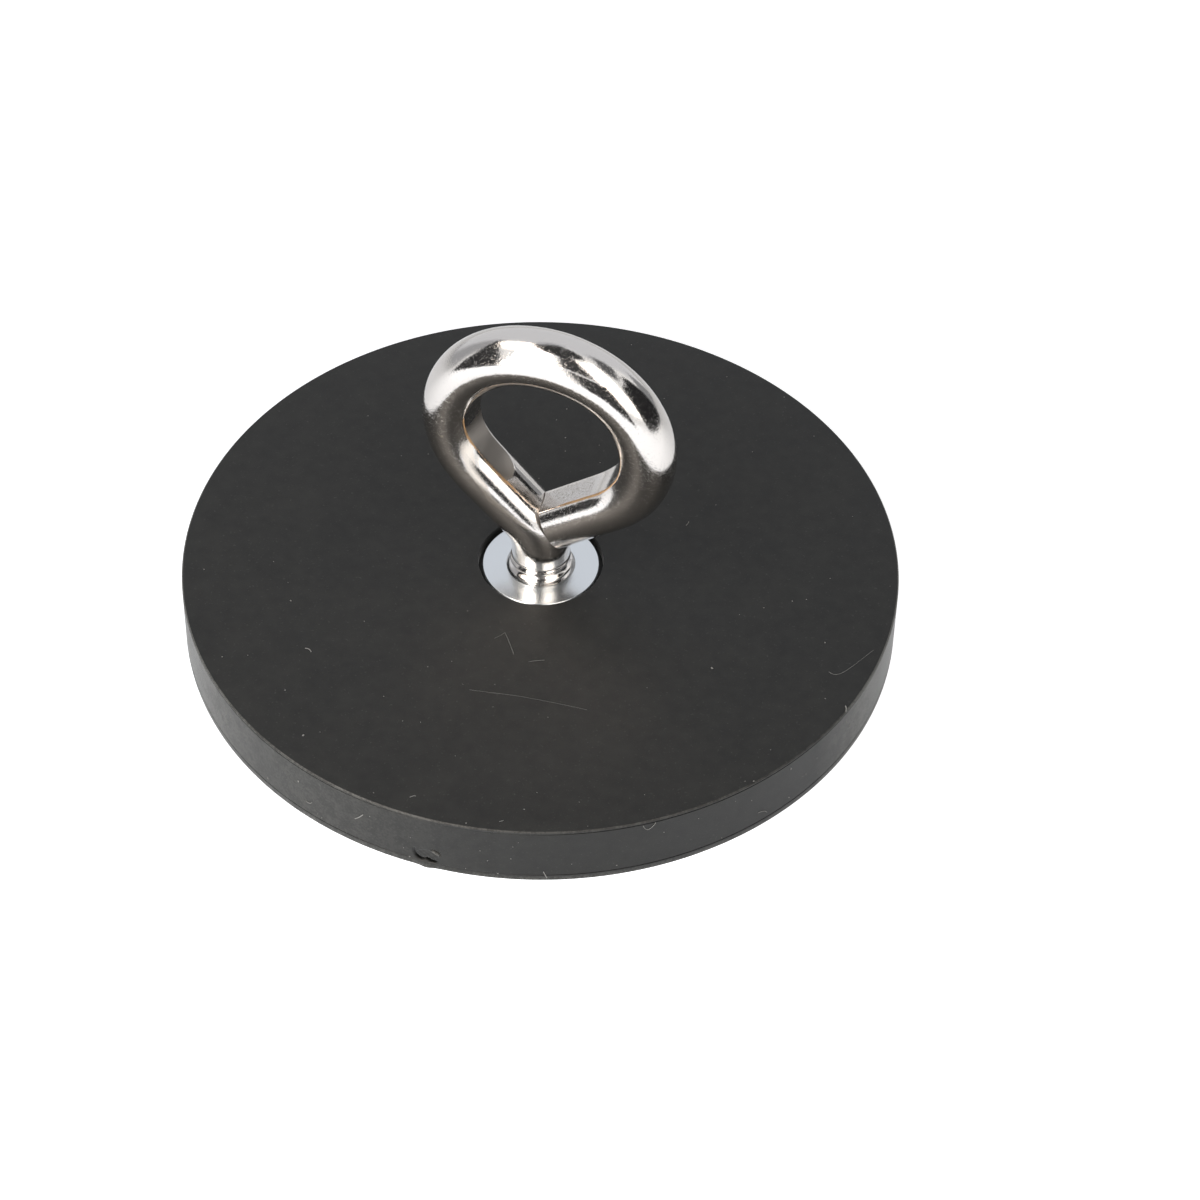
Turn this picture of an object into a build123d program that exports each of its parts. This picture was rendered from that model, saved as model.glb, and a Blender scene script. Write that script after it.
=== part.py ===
from build123d import *
from math import cos, pi, radians, sin, tan
import os

# Rubber-coated pot magnet with an eye screwed into it. Millimetres, +Z up. The origin is
# the middle of the magnetic face, on the axis of the threaded bush, and +Z points up the
# shank of the eye. The eye is bent in the XZ plane, so its hole opens along Y.

# Coating: one rubber moulding round the plate, the magnets and the bush
disc_d = 88.0           # outside diameter
disc_h = 8.5            # magnetic face to top face
face_skin = 1.0         # rubber between the magnets and the magnetic face
side_wall = 4.0         # rubber between the rim of the plate and the outside
top_bevel = 0.2         # broken edge round the top face
base_bevel = 0.15       # broken edge round the magnetic face

# Gate mark: where the rubber was fed in, low on the wall at -Y
gate_z = 2.4            # height of the middle of the scoop
gate_d = 2.6            # width of the scoop
gate_depth = 0.35       # depth of the scoop
flash_r = 2.0           # radius of the lump of flash under the scoop
flash_proud = 0.4       # how far the lump stands out of the wall
flash_z = 0.3           # height of the middle of the lump

# Steel plate, which carries the magnets
plate_t = 3.0
plate_rim = 3.0         # rim of the plate to the outer ring of magnets
plate_bevel = 0.4

# Magnets: round neodymium pieces under the plate in two rings, poles in turn up and down
magnet_d = 10.0
magnet_t = 3.0
outer_count = 12        # magnets along the rim of the plate
inner_count = 6         # magnets round the collar of the bush
collar_gap = 4.5        # collar to the inner ring of magnets

# Threaded bush: turned steel, pushed through the plate from below up to its collar
bush_d = 14.5
bush_sink = 0.5         # end of the bush below the top face of the rubber
bush_bevel = 0.15
collar_d = 16.0
collar_t = 2.5          # collar under the plate
bush_web = 0.8          # solid metal under the blind threaded hole
well_flare = 0.5        # the rubber widens by this much round the sunk end of the bush
press_gap = 0.02        # radial space between the bush and the plate
thread_d = 8.0          # M8, drawn at its outside diameter
thread_play = 0.05      # radial space between the two threads
sink_w = 0.36           # width of the countersink round the threaded hole

# Eye bolt: one piece of round wire, threaded at its foot and bent into a closed eye
wire_d = 7.1
foot_gap = 0.2          # foot of the thread to the bottom of the hole
foot_bevel = 0.8
thread_l = 8.0          # threaded length
thread_runout = 0.5     # cone between the thread and the neck
neck_l = 3.6            # top of the thread to the corner of the bend
bend_r = 6.0            # bend between the neck and the open leg
leg_lean = 44.0         # lean of the open leg from upright, degrees
leg_l = 12.0            # corner of the bend to the round part of the eye
side_r = 11.2           # radius of both sides of the eye
crown_r = 14.1          # radius of the flatter crown
crown_rise = 21.2       # slope where the crown begins, degrees
crown_fall = 24.4       # slope where the crown ends, degrees
closing_dip = 37.7      # slope of the closing leg, degrees
end_stand = 2.55        # cut end of the closing leg to where the axes of the legs cross
end_tilt = 8.8          # the cut is out of square by this much in the plane of the eye, degrees
end_skew = 6.4          # and by this much across it, degrees
closing_gap = 0.1       # seam between the cut end and the open leg
flat_depth = 0.3        # flat that the bending mandrel leaves inside the legs and the crown
mandrel_bite = 0.7      # the mandrel's sides are tighter than the wire's, so the flat is deepest there

upright = (Align.CENTER, Align.CENTER, Align.MIN)   # standing on the XY plane

# Places that follow from these sizes
plate_d = disc_d - 2 * side_wall
plate_z = face_skin + magnet_t
bush_top_z = disc_h - bush_sink
bush_foot_z = plate_z - collar_t
hole_foot_z = bush_foot_z + bush_web
hole_r = thread_d / 2
wire_r = wire_d / 2
bolt_foot_z = hole_foot_z + foot_gap
thread_top_z = bolt_foot_z + thread_l
corner_z = thread_top_z + neck_l


def beveled_disc(diameter, thickness, bevel):
    """A round plate with both rims broken, standing on the XY plane."""
    radius = diameter / 2
    section = Polyline(
        (0, 0),
        (radius - bevel, 0),
        (radius, bevel),
        (radius, thickness - bevel),
        (radius - bevel, thickness),
        (0, thickness),
        close=True,
    )
    return revolve(Plane.XZ * make_face(section), Axis.Z)


def turned(*corners):
    """A solid of revolution about Z from the (radius, height) corners of its half section."""
    return revolve(Plane.XZ * make_face(Polyline(*corners, close=True)), Axis.Z)


# Steel plate and magnets

def steel_plate():
    """The back plate, bored for the bush."""
    bore = Cylinder(bush_d / 2 + press_gap, plate_t, align=upright)
    return Pos(0, 0, plate_z) * (beveled_disc(plate_d, plate_t, plate_bevel) - bore)


def magnet_places():
    """Middles of the magnets: an outer ring along the plate's rim, and an inner one round the collar."""
    rings = (
        (outer_count, plate_d / 2 - plate_rim - magnet_d / 2),
        (inner_count, collar_d / 2 + collar_gap + magnet_d / 2),
    )
    places = []
    for count, ring_r in rings:
        for place in range(count):
            angle = 2 * pi * (place + 0.5) / count
            places.append((ring_r * cos(angle), ring_r * sin(angle)))
    return places


def magnet(place):
    """One magnet, its upper face against the plate."""
    return Pos(place[0], place[1], face_skin) * Cylinder(magnet_d / 2, magnet_t, align=upright)


# Threaded bush

def threaded_bush():
    """The bush with its collar, its blind hole and the countersink round the hole."""
    return turned(
        (0, bush_foot_z),
        (collar_d / 2, bush_foot_z),
        (collar_d / 2, plate_z),
        (bush_d / 2, plate_z),
        (bush_d / 2, bush_top_z - bush_bevel),
        (bush_d / 2 - bush_bevel, bush_top_z),
        (hole_r + sink_w, bush_top_z),
        (hole_r, bush_top_z - sink_w),
        (hole_r, hole_foot_z),
        (0, hole_foot_z),
    )


# Rubber coating

def disc_body():
    """The outside of the moulding, before the room for what it holds is taken out of it."""
    radius = disc_d / 2
    return turned(
        (0, 0),
        (radius - base_bevel, 0),
        (radius, base_bevel),
        (radius, disc_h - top_bevel),
        (radius - top_bevel, disc_h),
        (0, disc_h),
    )


def gate_mark(body):
    """Adds the lump of flash under the gate, and scoops out the gate's round seat."""
    wall_r = disc_d / 2
    lump = Pos(0, flash_r - flash_proud - wall_r, flash_z) * Sphere(flash_r)
    above_face = Pos(0, -wall_r, disc_h / 2) * Box(disc_d, disc_d, disc_h)
    scoop_r = ((gate_d / 2) ** 2 + gate_depth ** 2) / (2 * gate_depth)
    scoop = Pos(0, gate_depth - scoop_r - wall_r, gate_z) * Sphere(scoop_r)
    return body + (lump & above_face) - scoop


def rubber_coating(magnets):
    """The moulding, with room for the plate, each magnet, and the bush and its open well."""
    room = turned(
        (0, bush_foot_z),
        (collar_d / 2, bush_foot_z),
        (collar_d / 2, plate_z),
        (bush_d / 2, plate_z),
        (bush_d / 2, bush_top_z),
        (bush_d / 2 + well_flare, disc_h),
        (0, disc_h),
    )
    plate_room = Pos(0, 0, plate_z) * beveled_disc(plate_d, plate_t, plate_bevel)
    coating = gate_mark(disc_body()) - plate_room - room
    for piece in magnets:
        coating -= piece
    return coating


# Eye bolt

def along(angle):
    """Unit step in the plane of the eye, at an angle in degrees above +X."""
    return Vector(cos(radians(angle)), sin(radians(angle)))


def crossing(start, angle, other_start, other_angle):
    """Where two straight lines in the plane of the eye cross."""
    step, other = along(angle), along(other_angle)
    gap = other_start - start
    turn = step.X * other.Y - step.Y * other.X
    return start + step * ((gap.X * other.Y - gap.Y * other.X) / turn)


leg_angle = 90 + leg_lean
closing_angle = closing_dip - 180
leg_top = Vector(0, corner_z) + along(leg_angle) * leg_l


def loop_line(inset):
    """The round part of the eye, `inset` inside the wire's middle line: side, crown, side."""
    start = leg_top + along(leg_angle - 90) * inset
    left = JernArc(start, along(leg_angle), side_r - inset, crown_rise - leg_angle)
    crown = JernArc(left @ 1, left % 1, crown_r - inset, -crown_rise - crown_fall)
    right = JernArc(crown @ 1, crown % 1, side_r - inset, closing_angle + crown_fall)
    return left, crown, right


def wire_along(line, radius):
    """Round wire along a line drawn in the XZ plane."""
    path = Plane.XZ * line
    return sweep(Plane(path @ 0, z_dir=path % 0) * Circle(radius), path)


def open_leg_line():
    """Neck, bend and open leg, from the top of the thread to the round part of the eye."""
    tangent_l = bend_r * tan(radians(leg_lean / 2))
    neck = Line((0, thread_top_z - thread_runout), (0, corner_z - tangent_l))
    bend = JernArc(neck @ 1, neck % 1, bend_r, leg_lean)
    return neck, bend, Line(bend @ 1, leg_top)


def mandrel():
    """The tool that the eye is closed round: a vee between the legs, a round top and tighter sides."""
    inset = wire_r - flat_depth
    left, crown, right = loop_line(inset)
    foot = crossing(left @ 0, leg_angle, right @ 1, closing_angle)
    reach = 4 * crown_r
    ends = (foot + along(leg_angle) * reach, foot - along(closing_angle) * reach)
    vee = make_face(Polyline(foot, *ends, close=True))
    middle = crown @ 0 - along(crown_rise + 90) * (crown_r - inset)
    outline = vee & Pos(middle.X, middle.Y) * Circle(crown_r - inset)
    sides = outline.vertices().sort_by(Axis.Y)[-2:]
    outline = fillet(sides, side_r - inset - mandrel_bite)
    return extrude(Plane.XZ * outline, wire_d, both=True)


def closing_leg():
    """The free end of the wire: sheared off nearly square, and closed against the open leg."""
    loop_end = loop_line(0)[2] @ 1
    meet = crossing(leg_top, leg_angle, loop_end, closing_angle)
    middle = meet - along(closing_angle) * end_stand
    facing = along(closing_angle - end_tilt)
    shear = Plane((middle.X, 0, middle.Y), z_dir=(facing.X, -sin(radians(end_skew)), facing.Y))
    wire = split(wire_along(Line(loop_end, meet), wire_r), shear, keep=Keep.BOTTOM)
    seat = wire_along(Curve() + list(open_leg_line()), wire_r + closing_gap)
    return wire - seat


def shank():
    """The threaded foot at its outside diameter, with a lead-in and a run-out."""
    outer_r = hole_r - thread_play
    return turned(
        (0, bolt_foot_z),
        (outer_r - foot_bevel, bolt_foot_z),
        (outer_r, bolt_foot_z + foot_bevel),
        (outer_r, thread_top_z - thread_runout),
        (wire_r, thread_top_z),
        (0, thread_top_z),
    )


def eye_bolt():
    """The bent wire with its threaded foot, flattened inside the eye by the mandrel."""
    wire = wire_along(Curve() + list(open_leg_line()) + list(loop_line(0)), wire_r)
    return shank() + (wire - mandrel()) + (closing_leg() - mandrel())


magnets = [magnet(place) for place in magnet_places()]
pieces = {
    "rubber_coating": rubber_coating(magnets),
    "steel_plate": steel_plate(),
    "threaded_bush": threaded_bush(),
    "eye_bolt": eye_bolt(),
}
for number, piece in enumerate(magnets, start=1):
    pieces[f"magnet_{number:02d}"] = piece

os.makedirs("parts", exist_ok=True)
for name, piece in pieces.items():
    export_step(piece, f"parts/{name}.step")
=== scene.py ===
import bpy
import numpy as np
from mathutils import Matrix, Vector


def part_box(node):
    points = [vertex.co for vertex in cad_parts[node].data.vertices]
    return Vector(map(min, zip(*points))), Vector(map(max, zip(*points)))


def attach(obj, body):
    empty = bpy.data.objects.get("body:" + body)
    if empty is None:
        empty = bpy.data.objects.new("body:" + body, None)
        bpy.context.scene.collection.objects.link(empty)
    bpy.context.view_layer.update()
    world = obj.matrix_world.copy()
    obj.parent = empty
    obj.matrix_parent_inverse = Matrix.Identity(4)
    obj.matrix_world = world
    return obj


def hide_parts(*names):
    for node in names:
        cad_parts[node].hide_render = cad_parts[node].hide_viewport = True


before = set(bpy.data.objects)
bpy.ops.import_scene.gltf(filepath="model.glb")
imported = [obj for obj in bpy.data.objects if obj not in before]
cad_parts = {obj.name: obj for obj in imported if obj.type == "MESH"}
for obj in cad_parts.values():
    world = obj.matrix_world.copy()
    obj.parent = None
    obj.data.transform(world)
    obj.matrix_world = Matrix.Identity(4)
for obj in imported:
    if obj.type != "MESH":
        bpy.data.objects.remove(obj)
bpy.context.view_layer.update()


# ---- Table and studio ----
# The magnet stands on a white table in a white room, lit by an upright strip light in front and a window
# light on each side. Black flags and grey screens round it show in polished metal as dark shapes.

MM = 0.001  # all sizes below are in millimetres

studio_middle = (0, 0, 28)  # azimuths and elevations below are seen from this point
foot_distance = 180  # the flag under the eye stands closest
flag_distance = 220
shine_distance = 336  # what the lights show to polished metal and to the rubber's sheen
light_distance = 340
screen_distance = 460
screen_grid = 25  # lines of a screen's grid, each way
table_size = 6000
room_fill = 0.46  # light of the room on matt surfaces
table_glow = (0.15, 0.36, 0.62)  # the table's own part of its white in reflections: least, middle, most
table_slope = (0.0017, -0.0045)  # and its change for each millimetre to the right and to the back
table_shine = 0.40  # what the camera sees on top of that
table_white = "e6e6e6"
studio_white = "f8faff"  # the lights and screens are a little cool
shine_warm = "fff5ea"


def linear(colour):
    """An sRGB hex colour, such as "c8c2b8", as the linear RGBA that a socket takes."""
    parts = [int(colour[at:at + 2], 16) / 255 for at in (0, 2, 4)]
    return [p / 12.92 if p <= 0.04045 else ((p + 0.055) / 1.055) ** 2.4 for p in parts] + [1.0]


def node(tree, kind, sockets=None, **settings):
    """Adds one node. Settings are its properties. Sockets maps its inputs to values, outputs or nodes,
    which stand for their first open output."""
    made = tree.nodes.new("ShaderNode" + kind)
    for name, value in settings.items():
        setattr(made, name, value)
    for name, value in (sockets or {}).items():
        if isinstance(value, bpy.types.Node):
            value = next(output for output in value.outputs if output.enabled)
        if isinstance(value, bpy.types.NodeSocket):
            tree.links.new(value, made.inputs[name])
        else:
            made.inputs[name].default_value = value
    return made


def empty_tree(owner):
    """The owner's node tree with nothing in it."""
    owner.use_nodes = True
    owner.node_tree.nodes.clear()
    return owner.node_tree


def finish(name, surface, *details):
    """A material. The function surface draws its nodes from the details and gives the last one."""
    made = bpy.data.materials.new(name)
    tree = empty_tree(made)
    node(tree, "OutputMaterial", {"Surface": surface(tree, *details)})
    return made


def mesh_object(name, points, faces, material):
    """A mesh in the scene, from points in millimetres."""
    mesh = bpy.data.meshes.new(name)
    mesh.from_pydata((np.array(points) * MM).tolist(), [], faces)
    mesh.materials.append(material)
    made = bpy.data.objects.new(name, mesh)
    bpy.context.scene.collection.objects.link(made)
    return made


def shown_to_eye(tree):
    """1 for rays from the camera, a reflection or a clear material, and 0 for light on matt surfaces."""
    path = node(tree, "LightPath").outputs
    mirrored = node(tree, "Math", {0: path["Is Camera Ray"], 1: path["Is Glossy Ray"]},
                    operation="MAXIMUM")
    return node(tree, "Math", {0: mirrored, 1: path["Is Transmission Ray"]}, operation="MAXIMUM")


def white_room():
    """The room: plain white to the eye, and a little dimmer as a light."""
    world = bpy.data.worlds.new("white_room")
    tree = empty_tree(world)
    lighting = node(tree, "Background", {"Color": linear("ffffff"), "Strength": room_fill})
    seen = node(tree, "Background", {"Color": linear("ffffff"), "Strength": 1.0})
    mix = node(tree, "MixShader", {0: shown_to_eye(tree), 1: lighting, 2: seen})
    node(tree, "OutputWorld", {"Surface": mix})
    bpy.context.scene.world = world


def white_laminate(tree):
    """White laminate. Its glow lifts the lit table past white and leaves the magnet's soft shadow."""
    matt = node(tree, "BsdfDiffuse", {"Color": linear(table_white)})
    place = node(tree, "TexCoord").outputs["Object"]
    slope = (table_slope[0] / MM, table_slope[1] / MM, 0)
    rise = node(tree, "VectorMath", {0: place, 1: slope}, operation="DOT_PRODUCT")
    least, middle, most = table_glow
    side = node(tree, "MapRange", {"Value": rise, "From Min": least - middle, "From Max": most - middle,
                                   "To Min": least, "To Max": most})
    seen = node(tree, "LightPath").outputs["Is Camera Ray"]
    shine = node(tree, "Math", {0: seen, 1: table_shine, 2: side}, operation="MULTIPLY_ADD")
    glow = node(tree, "Emission", {"Color": linear("ffffff"), "Strength": shine})
    both = node(tree, "AddShader", {0: matt, 1: glow})
    return node(tree, "MixShader", {0: shown_to_eye(tree), 1: matt, 2: both})


def screen_tone(tree, strength, soft, colour):
    """An even tone that fades out towards its sides, and its top and bottom, over the shares given."""
    axes = node(tree, "SeparateXYZ", {0: node(tree, "UVMap", uv_map="screen")}).outputs
    fades = []
    for axis, share in zip(("X", "Y"), soft):
        middle = node(tree, "Math", {0: axes[axis], 1: 0.5}, operation="SUBTRACT")
        away = node(tree, "Math", {0: middle}, operation="ABSOLUTE")
        fades.append(node(tree, "MapRange", {
            "Value": away, "From Min": 0.5 - share, "From Max": 0.5, "To Min": 1.0, "To Max": 0.0},
            interpolation_type="SMOOTHSTEP"))
    cover = node(tree, "Math", {0: fades[0], 1: fades[1]}, operation="MULTIPLY")
    tone = node(tree, "Emission", {"Color": linear(colour), "Strength": strength})
    return node(tree, "MixShader", {0: cover, 1: node(tree, "BsdfTransparent"), 2: tone})


def towards(azimuth, elevation):
    """Unit steps towards angles in degrees, with azimuth 0 at the front (-Y) and 90 at the right (+X)."""
    turn, rise = np.radians(azimuth), np.radians(elevation)
    return np.stack([np.sin(turn) * np.cos(rise), -np.cos(turn) * np.cos(rise), np.sin(rise)], axis=-1)


def grid_faces(index):
    """Faces between the neighbouring rows and columns of a grid of vertex numbers."""
    corners = index[:-1, :-1], index[:-1, 1:], index[1:, 1:], index[1:, :-1]
    return np.stack(corners, axis=-1).reshape(-1, 4)


def screen(name, rows, distance, strength, soft=(0.12, 0.12), lights=False, colour=studio_white):
    """A light, flag or grey screen on a sphere round the magnet. Each row is an elevation and the azimuths
    of the left and right edge there."""
    rise, left, right = np.array(rows, float).T
    across, up = np.meshgrid(np.linspace(0, 1, screen_grid), np.linspace(0, 1, screen_grid))
    elevation = rise[0] + (rise[-1] - rise[0]) * up
    azimuth = np.interp(elevation, rise, left) * (1 - across) + np.interp(elevation, rise, right) * across
    points = np.array(studio_middle) + towards(azimuth, elevation) * distance
    faces = grid_faces(np.arange(screen_grid ** 2).reshape(screen_grid, screen_grid))
    material = finish(name, screen_tone, strength, soft, colour)
    made = mesh_object(name, points.reshape(-1, 3), faces.tolist(), material)
    uv = np.stack([across.reshape(-1), up.reshape(-1)], axis=1)[faces.reshape(-1)]
    made.data.uv_layers.new(name="screen").data.foreach_set("uv", uv.reshape(-1))
    made.visible_camera = made.visible_shadow = made.visible_transmission = False
    made.visible_diffuse = lights


white_room()
half = table_size / 2
table = mesh_object("table", [(-half, -half, 0), (half, -half, 0), (half, half, 0), (-half, half, 0)],
                    [(0, 1, 2, 3)], finish("white_table", white_laminate))

# Each light: its outline, its strength on matt surfaces, and what polished metal shows of it.
room_lights = [
    ("strip", [(-4, -29, -2), (30, -34, -4), (50, -46, -8), (68, -56, -18)], 4.5, 7.5),
    ("left", [(42, -96, -50), (60, -100, -44), (70, -106, -40)], 1.8, 2.8),
    ("right", [(4, 27, 62), (40, 26, 70), (62, 28, 82), (74, 25, 106)], 1.7, 2.8)]
for side, rows, light, shine in room_lights:
    screen(f"{side}_light", rows, light_distance, light, lights=True)
    screen(f"{side}_shine", rows, shine_distance, shine, colour=shine_warm)
screen("flag_left", [(-5.6, -66, -26), (0, -67, -27), (10, -70, -30), (20, -73, -35), (30, -80, -43),
                     (38, -92, -54), (46, -108, -76)], flag_distance, 0.03, (0.12, 0.03))
screen("flag_lens", [(33, -1, 27), (45, -3, 29), (60, -3, 31), (84, -12, 42)],
       flag_distance, 0.03, (0.12, 0.06))
screen("flag_stand", [(-7, 0, 36), (10, 1, 36), (20, 1, 37), (31, 2, 35)],
       flag_distance, 0.035, (0.10, 0.04))
screen("flag_foot", [(-8.7, 13, 35), (-2, 10, 36)], foot_distance, 0.05, (0.12, 0.10))
screen("flag_right", [(-3, 60, 129), (5, 59, 131), (15, 60, 131), (25, 64, 130), (33, 68, 128),
                      (41, 80, 120)], flag_distance, 0.02, (0.10, 0.04))
screen("screen_right", [(-3, 118, 152), (22, 118, 150)], light_distance, 0.28, (0.16, 0.12))
screen("boom_right", [(43, 84, 140), (50, 76, 146), (57, 74, 152), (67, 84, 146)],
       flag_distance, 0.12, (0.25, 0.25))
screen("ceiling_left", [(66, -180, 0), (90, -180, 0)], screen_distance, 0.03, (0.02, 0.08))
screen("ceiling_right", [(74, 0, 180), (90, 0, 180)], screen_distance, 0.03, (0.02, 0.08))
screen("screen_left", [(-3, -131, -64), (30, -131, -74), (50, -131, -86)],
       screen_distance, 0.42, (0.16, 0.1))
screen("screen_back", [(-2, 128, 262), (40, 128, 262), (78, 120, 270)], screen_distance, 0.76)


# The camera looks down on the magnet from the front, a little to the right.

camera_azimuth = 19.1
camera_elevation = 45.377
camera_distance = 456.85
camera_aim = (0, 0, 8.5)
camera_trim = ((-0.915, "Y"), (-0.613, "X"), (0.385, "Z"))
camera_lens = 111.434
camera_frame = 36


def camera():
    """The camera on its stand: a turn round the magnet, a tilt down, and the small trim of the head."""
    data = bpy.data.cameras.new("camera")
    data.sensor_width = camera_frame
    data.lens = camera_lens
    made = bpy.data.objects.new("camera", data)
    bpy.context.scene.collection.objects.link(made)
    place = np.array(camera_aim) + towards(camera_azimuth, camera_elevation) * camera_distance
    head = Matrix.Translation(Vector(place * MM)) @ Matrix.Rotation(np.radians(camera_azimuth), 4, "Z")
    head = head @ Matrix.Rotation(np.radians(90 - camera_elevation), 4, "X")
    for angle, axis in camera_trim:
        head = head @ Matrix.Rotation(np.radians(angle), 4, axis)
    made.matrix_world = head
    bpy.context.scene.camera = made


camera()
bpy.context.scene.view_settings.view_transform = "Standard"


# ---- Magnets ----
# Eighteen sintered neodymium discs, nickel plated, pressed against the plate in two rings before the rubber
# is moulded round them.

magnet_grain = 0.35  # pitch of the tumbled finish
magnet_names = [name for name in sorted(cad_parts) if name.startswith("magnet_")]


def dress(name, material):
    """Gives a node of the frame its material."""
    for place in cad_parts[name].material_slots:
        place.link = "OBJECT"
        place.material = material


def tumbled_nickel(tree):
    """Nickel over sintered neodymium, tumbled: a soft grey shine with a fine orange-peel grain."""
    place = node(tree, "TexCoord").outputs["Object"]
    grain = node(tree, "TexNoise", {"Vector": place, "Scale": 1 / (magnet_grain * MM), "Detail": 3.0})
    rough = node(tree, "MapRange", {"Value": grain, "To Min": 0.24, "To Max": 0.38})
    bump = node(tree, "Bump", {"Height": grain, "Strength": 0.2, "Distance": 0.02 * MM})
    return node(tree, "BsdfPrincipled", {
        "Base Color": linear("cbc8c1"), "Metallic": 1.0, "Roughness": rough, "Normal": bump})


nickel = finish("tumbled_nickel", tumbled_nickel)
for name in magnet_names:
    dress(name, nickel)


# ---- Steel plate ----
# A blank of mild steel, stamped round and bored for the bush. It closes the magnets' circuit, and the
# rubber covers it on every side.

rolling_pitch = 0.4  # across the marks that the rolling mill leaves
rolling_length = 9.0  # along them


def rolled_steel(tree):
    """Cold-rolled mild steel: mid grey, with fine marks along the rolling direction."""
    place = node(tree, "TexCoord").outputs["Object"]
    scale = (1 / (rolling_length * MM), 1 / (rolling_pitch * MM), 1 / (rolling_pitch * MM))
    marks = node(tree, "Mapping", {"Vector": place, "Scale": scale})
    grain = node(tree, "TexNoise", {"Vector": marks, "Scale": 1.0, "Detail": 4.0})
    tone = node(tree, "Mix", {"Factor": grain, "A": linear("8f9091"), "B": linear("b2b3b4")},
                data_type="RGBA")
    bump = node(tree, "Bump", {"Height": grain, "Strength": 0.3, "Distance": 0.02 * MM})
    return node(tree, "BsdfPrincipled", {
        "Base Color": tone, "Metallic": 1.0, "Roughness": 0.38, "Normal": bump})


dress("steel_plate", finish("cold_rolled_steel", rolled_steel))


# ---- Threaded bush ----
# Turned from steel bar and zinc plated, pushed through the plate from below. Its sunk end shows a fine
# turned face, a broken rim, a countersink and the first turns of its M8 thread.


def box_of(name):
    """Lowest and highest corner of a node of the frame, in millimetres."""
    return [np.array(corner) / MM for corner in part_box(name)]


(_, _, bush_foot_z), (collar_r, _, bush_top_z) = box_of("threaded_bush")
(_, _, plate_z), (plate_r, _, plate_top_z) = box_of("steel_plate")
bush_r = 7.25
bush_rim = 0.15  # broken edge of the sunk end
bore_r = 4.0
sink_w = 0.24  # countersink round the thread
bore_foot_z = bush_foot_z + 0.8
thread_fade = (0.3, 0.4)  # the thread runs out over these lengths at its top and foot
bush_columns = 192

thread_pitch = 1.25  # M8 coarse, right-handed
thread_depth = 0.70
thread_crest = 0.11  # half width of the rounded crest
thread_start = 0.861  # height of a crest where it crosses +X, in pitches
thread_soft = 0.06  # rounding of crests and roots
thread_rows = 16  # rows of points for each turn

turning_pitch = 0.12  # rings of the turned face
zinc_grain = 0.16


def arc_corner(before, corner, after, radius, steps=5):
    """The arc of a radius that touches both lines at a corner, as points from one line to the other."""
    back, on = before - corner, after - corner
    back, on = back / np.hypot(*back), on / np.hypot(*on)
    half = np.arccos(np.clip(back @ on, -1, 1)) / 2
    middle = corner + (back + on) / np.hypot(*(back + on)) * radius / np.sin(half)
    start = corner + back * radius / np.tan(half) - middle
    angles = (np.pi - 2 * half) * np.sign(back[1] * on[0] - back[0] * on[1]) * np.linspace(0, 1, steps)
    across = np.array([-start[1], start[0]])
    return middle + np.cos(angles)[:, None] * start + np.sin(angles)[:, None] * across


def outline(corners):
    """A (radius, height) outline through corners that each say how far they are rounded."""
    places = np.array([corner[:2] for corner in corners], float)
    points = [places[:1]]
    for at in range(1, len(corners) - 1):
        radius = corners[at][2]
        points.append(arc_corner(*places[at - 1:at + 2], radius) if radius else places[at:at + 1])
    return np.concatenate(points + [places[-1:]])


def divided(points, top, bottom, step):
    """The same outline with more points wherever it lies between two heights, at most a step apart."""
    parts = []
    for here, there in zip(points[:-1], points[1:]):
        inside = bottom <= min(here[1], there[1]) and max(here[1], there[1]) <= top
        count = max(int(np.ceil(np.hypot(*(there - here)) / step)), 1) if inside else 1
        parts.append(here + (there - here) * np.arange(count)[:, None] / count)
    return np.concatenate(parts + [points[-1:]])


def ring_of(profile, angles):
    """A surface of revolution: each outline point goes round Z through the angles."""
    return np.stack([profile[:, :1] * np.cos(angles), profile[:, :1] * np.sin(angles),
                     np.repeat(profile[:, 1:], len(angles), axis=1)], axis=-1)


def shell(rows, first, last):
    """Vertices and faces of a closed skin. Each row is a ring of points, joined to the next one and to
    itself, and the first and last rings close on a point each."""
    count, around = rows.shape[:2]
    index = np.arange(count * around).reshape(count, around)
    index = np.concatenate([index, index[:, :1]], axis=1)
    faces = grid_faces(index).tolist()
    for tip, here, beside in ((count * around, index[0, 1:], index[0, :-1]),
                              (count * around + 1, index[-1, :-1], index[-1, 1:])):
        faces += np.stack([np.full(around, tip), here, beside], axis=-1).tolist()
    return np.concatenate([rows.reshape(-1, 3), [first, last]]), faces


def piece(name, shells, material, replaced=None, hard_angle=None, wear_and_painted_light=None):
    """One smooth mesh from shells in millimetres, each turned outwards by the sign of its volume, or
    inwards if it is marked hollow. It rides on the magnet and may stand for a node of the frame. Its marks,
    of use and of painted light, map names to values at the first vertices. The rest have 0."""
    points, faces, base = [], [], 0
    for (places, sides), hollow in shells:
        whole = np.array([list(side) + [side[2]] * (4 - len(side)) for side in sides])
        a, b, c, d = (places[whole[:, k]] - places[0] for k in range(4))
        volume = (np.cross(a, b) * c).sum() + (np.cross(a, c) * d).sum()
        if (volume < 0) != hollow:
            sides = [side[::-1] for side in sides]
        points.append(places)
        faces += [[corner + base for corner in side] for side in sides]
        base += len(places)
    made = mesh_object(name, np.concatenate(points), faces, material)
    made.data.polygons.foreach_set("use_smooth", np.ones(len(faces), bool))
    if hard_angle:
        made.data.set_sharp_from_angle(angle=np.radians(hard_angle))
    for mark, values in (wear_and_painted_light or {}).items():
        values = np.append(values, np.zeros(base - len(values))).astype(np.float32)
        made.data.attributes.new(mark, "FLOAT", "POINT").data.foreach_set("value", values)
    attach(made, "root")
    if replaced:
        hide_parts(replaced)


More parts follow.
